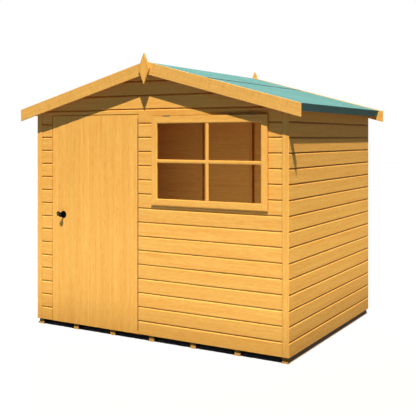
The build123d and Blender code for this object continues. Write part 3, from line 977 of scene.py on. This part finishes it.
# The top rail's ledge gets painted shade, the bottom rail none.
rails = ((-1, sash_low.z, pane_foot, 0, [drip_cut]), (1, sash_high.z, pane_head, ledge_painted_shade, []))
for level, outer, inner, painted_shade, more_cuts in rails:
    outline = sash_outline(outer, inner)
    ends = [[(x, y, z) for z, y in outline] for x in (sash_low.x, sash_high.x)]
    cuts = [mitre(side, level, -1) for side in (-1, 1)] + more_cuts
    sash.board(*ends, f"sash rail {outer}", level_axes, cuts, rub_and_shade=((0, -painted_shade), (1, 1)))
for outline in bar_outlines((pane_left + pane_right) / 2):
    ends = [[(x, y, z) for x, y in outline] for z in (pane_foot, pane_head)]
    sash.board(*ends, "upright bar", upright_axes)
for outline in bar_outlines((pane_foot + pane_head) / 2):
    ends = [[(x, y, z) for z, y in outline] for x in (pane_left, pane_right)]
    sash.board(*ends, "level bar", level_axes)
set_down(sash.mesh, "sash_timber", "shed", "cladding", board_wood, "window_sash")

# %% [markdown]
# ## Glass
# Shed glazing is thin and clear, and in the photograph it gives no mirror image at all, only a view of
# the brown room. The pane's solid is right as it is, so it only gets a finish: plain glass with
# its mirror turned down, faint ripples and smears. Light on its way from the sun would count glass as
# a wall, so for shadow rays and bounced light the pane is simply clear, and the room is lit through it.

# %% Window glass
def clear_glass():
    """Thin clear glazing that lets the sun through and has faint ripples."""
    material, shader, place = start_material("clear_glazing")
    ripple = add_node(material, "TexNoise", Vector=place, Scale=5, Detail=1)
    smears = add_node(material, "TexNoise", Vector=place, Scale=14, Detail=4)
    bump = add_node(material, "Bump", Height=ripple.outputs["Fac"], Strength=0.1, Distance=0.001)
    roughness = add_math(material, "MULTIPLY_ADD", smears.outputs["Fac"], 0.04, 0.0)
    fill_inputs(material, shader, Base_Color=(0.96, 0.98, 0.97, 1), Transmission_Weight=1,
                Specular_IOR_Level=0.06, IOR=1.05, Roughness=roughness, Normal=bump.outputs["Normal"])
    clear = add_node(material, "BsdfTransparent")
    path = add_node(material, "LightPath")
    through = add_math(material, "MAXIMUM", path.outputs["Is Shadow Ray"], path.outputs["Is Diffuse Ray"])
    mixed = add_node(material, "MixShader")
    links = material.node_tree.links
    links.new(through, mixed.inputs[0])
    links.new(shader.outputs[0], mixed.inputs[1])
    links.new(clear.outputs[0], mixed.inputs[2])
    links.new(mixed.outputs[0], material.node_tree.nodes["Material Output"].inputs["Surface"])
    return material


def finish_node(node, material):
    """Give a CAD node that is shown as it is a finish of its own."""
    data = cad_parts[node].data
    data.materials.clear()
    data.materials.append(material)
    print(node, "keeps its solid and is finished in", material.name)


finish_node("window_glass", clear_glass())

# %% [markdown]
# ## Mineral felt
# The roof is covered with bitumen felt, pressed full of green grit. From afar it is a soft mint
# green, and close up every grain is a little lighter or darker than the next. Real grains
# would take millions of faces, so fine noise gives the grit, slow noise the fading, and both lift
# the surface. Where the felt is folded down over the eave, the colour is made duller and a little
# greener, read from the way the surface faces: a painted shade tint for the fold, which lies in shade.

# %% Felt sheets
felt_stops = [(0.32, (0.08, 0.22, 0.211)), (0.68, (0.134, 0.31, 0.3))]
felt_ease = 0.0007


def mineral_felt():
    """Green gritted roofing felt."""
    material, shader, place = start_material("green_felt")
    grit = add_node(material, "TexVoronoi", Vector=place, Scale=420).outputs["Distance"]
    clumps = add_node(material, "TexNoise", Vector=place, Scale=90, Detail=4, Roughness=0.7).outputs["Fac"]
    fading = add_node(material, "TexNoise", Vector=place, Scale=2.2, Detail=3).outputs["Fac"]
    amount = add_math(material, "MULTIPLY_ADD", clumps, 0.5, 0)
    amount = add_math(material, "MULTIPLY_ADD", fading, 0.3, amount)
    amount = add_math(material, "MULTIPLY_ADD", grit, 0.3, amount)
    colour = add_ramp(material, amount, felt_stops)
    # Painted shade tint: upright faces, such as the fold over the eave, are duller and greener.
    facing = add_node(material, "NewGeometry").outputs["Normal"]
    lying_flat = add_node(material, "SeparateXYZ", Vector=facing).outputs["Z"]
    fold_shade_saturation = add_node(material, "MapRange", Value=lying_flat, To_Min=0.7, To_Max=1).outputs["Result"]
    fold_shade_hue = add_node(material, "MapRange", Value=lying_flat, To_Min=0.472, To_Max=0.5).outputs["Result"]
    fold_shade_tinted = add_node(material, "HueSaturation", Hue=fold_shade_hue, Saturation=fold_shade_saturation, Color=colour)
    height = add_math(material, "SUBTRACT", clumps, grit)
    bump = add_node(material, "Bump", Height=height, Strength=0.35, Distance=0.0008)
    roughness = add_math(material, "MULTIPLY_ADD", clumps, 0.1, 0.9)
    fill_inputs(material, shader, Base_Color=fold_shade_tinted.outputs["Color"], Roughness=roughness,
                Normal=bump.outputs["Normal"], Specular_IOR_Level=0.03)
    return material


felt = mineral_felt()
for node in ("roof_felt_left", "roof_felt_right", "roof_felt_ridge"):
    eased_copy(node, "shed", "felt", felt, felt_ease)

# %% [markdown]
# ## Bitumen along the lap
# The sheet over the ridge laps the sheets on the slopes, and the lap shows as a dark line. On a real
# roof that line is the bitumen that squeezes out when the lap is pressed down. The line could be
# painted on the felt, but it stands up a little and casts its own shade, so a thin black bead is
# laid along the edge, with a rounded outline that runs the whole length of the roof.

# %% Lap beads
lap_low, lap_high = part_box("roof_felt_ridge")
felt_thickness = 0.002
bead_profile = [(0, 0), (0, felt_thickness), (-0.004, felt_thickness), (-0.002, 0.0035), (0.001, 0.0042),
                (0.004, 0.0028), (0.006, 0)]
bitumen_stops = [(0.3, (0.008, 0.014, 0.012)), (0.75, (0.022, 0.04, 0.034))]


def bitumen():
    """Black bitumen, matt where dust has settled on it."""
    material, shader, place = start_material("bitumen")
    dust = add_node(material, "TexNoise", Vector=place, Scale=60, Detail=4).outputs["Fac"]
    bump = add_node(material, "Bump", Height=dust, Strength=0.4, Distance=0.001)
    fill_inputs(material, shader, Base_Color=add_ramp(material, dust, bitumen_stops), Roughness=0.7,
                Normal=bump.outputs["Normal"])
    return material


across_slope = Vector((1, 0, -slope)).normalized()
off_slope = Vector((slope, 0, 1)).normalized()
lap_edge = Vector((lap_high.x, 0, lap_low.z))
beads = Timber()
for side in (-1, 1):
    outline = [lap_edge + across_slope * run + off_slope * rise for run, rise in bead_profile]
    ends = [[(side * point.x, y, point.z) for point in outline] for y in (lap_low.y, lap_high.y)]
    beads.board(*ends, f"bead {side}", (along_y, along_x, along_z))
set_down(beads.mesh, "lap_beads", "shed", "felt", bitumen())

# %% [markdown]
# ## A lathe and black lacquer
# Knob and roses are turned, so they are made the way a lathe makes them: half an outline is swept round
# an axis. A screw or spin tool would do the same in the editor. The helper below closes a knob with
# a point on the axis, and a ring with its own bore. Their finish is black lacquer baked on metal. It
# is almost free of gloss in the photograph, so its mirror is turned down, and it is paler where
# dust lies and rough where hands touch it.

# %% Lathe and lacquer
turn_steps = 48
black_stops = [(0.3, (0.0015, 0.0015, 0.0015)), (0.8, (0.006, 0.006, 0.006))]


def turned(mesh, outline, foot, outward, ring_shaped=False):
    """Sweep an outline of (radius, distance) round an axis that starts at foot and runs along Y."""
    rings = []
    for radius, distance in outline:
        middle = Vector(foot) + outward * distance * along_y
        if radius == 0:
            rings.append([mesh.verts.new(middle)])
            continue
        ring = []
        for step in range(turn_steps):
            angle = 2 * pi * step / turn_steps
            ring.append(mesh.verts.new(middle + radius * Vector((cos(angle), 0, sin(angle)))))
        rings.append(ring)
    if ring_shaped:
        rings.append(rings[0])
    for inner, outer in zip(rings, rings[1:]):
        for step in range(turn_steps):
            after = (step + 1) % turn_steps
            corners = [inner[step % len(inner)], inner[after % len(inner)],
                       outer[after % len(outer)], outer[step % len(outer)]]
            mesh.faces.new(list(dict.fromkeys(corners)))


def black_lacquer():
    """Black lacquer over metal, with orange-peel relief and dusty patches."""
    material, shader, place = start_material("black_japan")
    peel = add_node(material, "TexNoise", Vector=place, Scale=500, Detail=2).outputs["Fac"]
    handled = add_node(material, "TexNoise", Vector=place, Scale=70, Detail=3).outputs["Fac"]
    colour = add_ramp(material, handled, black_stops)
    roughness = add_math(material, "MULTIPLY_ADD", handled, 0.2, 0.3)
    bump = add_node(material, "Bump", Height=peel, Strength=0.2, Distance=0.0002)
    fill_inputs(material, shader, Base_Color=colour, Roughness=roughness,
                Normal=bump.outputs["Normal"], Specular_IOR_Level=0.012)
    return material


black = black_lacquer()

# %% [markdown]
# ## Outlines for the lathe
# There is a knob on each face of the door. Its head is a soft ball flattened in front, on a neck
# that tapers towards it. The rose under it is a flat ring with a rolled rim. Both outlines could be
# drawn as curves by hand. They are worked out from sines here, so that they follow the solids' sizes.

# %% Knob and rose outlines
door_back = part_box("door_stiles")[1].y
rose_low, rose_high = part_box("knob_roses")
knob_low, knob_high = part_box("door_knobs")
knob_x, knob_z = (knob_low.x + knob_high.x) / 2, (knob_low.z + knob_high.z) / 2
rose_radius, rose_rise = rose_high.x - knob_x, rose_high.y - door_back
knob_radius, knob_reach = (knob_high.x - knob_low.x) / 2, front_y - knob_low.y
neck_radius = 0.009
neck_waist = 0.85
neck_sunk = 0.3
bore_share, flare_share = 0.5, 0.9
bore_flare = 1.15
rim_roll = 0.006
rim_steps = 6
rim_fullness = 0.7
head_depth = 0.014
head_steps = 14
head_start = 0.5
head_fullness = 0.8


def rose_outline(radius, hole):
    """Half outline of a flat ring with a rolled rim."""
    points = [(hole, 0), (hole, rose_rise * bore_share), (hole * bore_flare, rose_rise * flare_share)]
    for step in range(rim_steps + 1):
        turn = pi / 2 * step / rim_steps
        rim = rim_roll * (1 - sin(turn))
        points.append((radius - rim, rose_rise * cos(turn) ** rim_fullness if step < rim_steps else 0))
    return points


neck_foot = rose_rise * neck_sunk
neck_middle = (knob_reach - head_depth) / 2
knob_outline = [(0, neck_foot), (neck_radius, neck_foot), (neck_radius * neck_waist, neck_middle)]
head_middle = knob_reach - head_depth / 2
for step in range(head_steps + 1):
    turn = head_start + (pi - head_start) * step / head_steps
    radius = 0 if step == head_steps else knob_radius * sin(turn) ** head_fullness
    knob_outline.append((radius, head_middle - head_depth / 2 * cos(turn)))
print("knob is", round(2 * knob_radius, 3), "m across and stands", round(knob_reach, 3), "m off the door")

# %% [markdown]
# ## Turning knobs and roses
# The bore of a rose is wider than the neck by half a millimetre each way, so that the knob can turn in
# it without touching. The knobs ride on a body of their own, and the roses stay on the door. A
# smaller ring on the latch side, turned from the same outline, holds the lock.

# %% Turned knobs and roses
bore_slack = 0.0005
lock_radius = 0.018
lock_lift = 0.005
plug_radius = 0.008
roses, knobs = bmesh.new(), bmesh.new()
for face_y, outward in ((front_y, -1), (door_back, 1)):
    foot = (knob_x, face_y, knob_z)
    turned(roses, rose_outline(rose_radius, neck_radius + bore_slack), foot, outward, ring_shaped=True)
    turned(knobs, knob_outline, foot, outward)
lock_x, lock_z = rose_low.x + lock_radius, knob_z + lock_lift
turned(roses, rose_outline(lock_radius, plug_radius), (lock_x, front_y, lock_z), -1, ring_shaped=True)
set_down(roses, "turned_roses", "door", "black_metal", black, "knob_roses")
set_down(knobs, "turned_knobs", "knob", "black_metal", black, "door_knobs")

# %% [markdown]
# ## Plated steel
# The door hangs on one long strip hinge of bronzed steel, and the window's small hinges, the
# spindle and the lock are zinc plated. Rolled strip has brush marks along it and a faint spangle from
# the plating. The strip hinge with its knuckles and pin is already complete in the solids, so
# these nodes stay as they are and only get the finish.

# %% Strip hinge and spindle
def plated_steel(name, dark, light):
    """Plated steel with brush marks and dull spangles."""
    material, shader, place = start_material(name)
    laid = add_node(material, "Mapping", Vector=place, Scale=(900, 900, 25)).outputs[0]
    brush = add_node(material, "TexNoise", Vector=laid, Scale=1, Detail=3).outputs["Fac"]
    spangle = add_node(material, "TexVoronoi", Vector=place, Scale=90).outputs["Distance"]
    amount = add_math(material, "MULTIPLY_ADD", spangle, 0.4, brush)
    colour = add_ramp(material, amount, [(0.35, dark), (0.85, light)])
    roughness = add_math(material, "MULTIPLY_ADD", brush, 0.25, 0.45)
    bump = add_node(material, "Bump", Height=brush, Strength=0.2, Distance=0.0002)
    fill_inputs(material, shader, Base_Color=colour, Roughness=roughness,
                Normal=bump.outputs["Normal"], Specular_IOR_Level=0.03)
    return material


bronzed = plated_steel("bronzed_steel", (0.18, 0.115, 0.045), (0.35, 0.23, 0.1))
zinc = plated_steel("zinc_steel", (0.07, 0.066, 0.06), (0.15, 0.143, 0.13))
for node in ("door_hinge_leaf", "frame_hinge_leaf", "hinge_pin"):
    finish_node(node, bronzed)
finish_node("knob_spindle", zinc)

# %% [markdown]
# ## Window hinges
# Two small hinges sit on the top edge of the sash. Each has two thin leaves and a slim barrel of five
# knuckles. A hinge this size is a few bright pixels in the photograph, so plain barrels would
# do from afar, but the gaps between the knuckles show up close. Leaves and knuckles are short
# boards to the helper: an outline each, drawn out along the sash.

# %% Window hinges
hinge_low, hinge_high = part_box("window_hinges")
barrel_radius = 0.0024
barrel_sides = 20
barrel_proud = 0.001
leaf_thickness = 0.0012
knuckle_count = 5
knuckle_gap = 0.0005
barrel_y, barrel_z = sash_low.y - barrel_proud, (hinge_low.z + hinge_high.z) / 2
leaf_feet = (sash_high.z, 2 * barrel_z - sash_high.z - leaf_thickness)
round_barrel = []
for step in range(barrel_sides):
    turn = 2 * pi * step / barrel_sides
    round_barrel.append((barrel_y + barrel_radius * cos(turn), barrel_z + barrel_radius * sin(turn)))

cad_hinges = Timber(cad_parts["window_hinges"].data)
bmesh.ops.remove_doubles(cad_hinges.mesh, verts=cad_hinges.mesh.verts[:], dist=same_place)
hinges = Timber()
for verts in loose_lengths(cad_hinges.mesh):
    left, right = min(vert.co.x for vert in verts), max(vert.co.x for vert in verts)
    for foot in leaf_feet:
        flat = [(barrel_y, foot), (hinge_high.y, foot),
                (hinge_high.y, foot + leaf_thickness), (barrel_y, foot + leaf_thickness)]
        ends = [[(x, y, z) for y, z in flat] for x in (left, right)]
        hinges.board(*ends, f"leaf {foot}", level_axes)
    knuckle_step = (right - left) / knuckle_count
    for number in range(knuckle_count):
        near_x = left + number * knuckle_step
        far_x = near_x + knuckle_step - knuckle_gap
        ends = [[(x, y, z) for y, z in round_barrel] for x in (near_x, far_x)]
        hinges.board(*ends, f"knuckle {number}", level_axes)
cad_hinges.mesh.free()
set_down(hinges.mesh, "knuckled_window_hinges", "shed", "steel", zinc, "window_hinges")

# %% [markdown]
# ## The lock's plug
# In the ring on the latch side sits the plug that the key turns. Its slot goes right through, and a
# slot could be cut from a disc with a boolean. Two half discs that stop short of the middle leave
# the same slot and need no cutting.

# %% Lock plug
key_slot = 0.0016
plug_steps = 16
plug = Timber()
for side in (-1, 1):
    outline = []
    for step in range(plug_steps + 1):
        turn = pi * step / plug_steps
        across = max(plug_radius * sin(turn), key_slot / 2)
        outline.append((lock_x + side * across, lock_z + plug_radius * cos(turn)))
    ends = [[(x, y, z) for x, z in outline] for y in (front_y, rose_low.y)]
    plug.board(*ends, f"plug {side}", upright_axes)
set_down(plug.mesh, "lock_plug", "door", "steel", zinc)
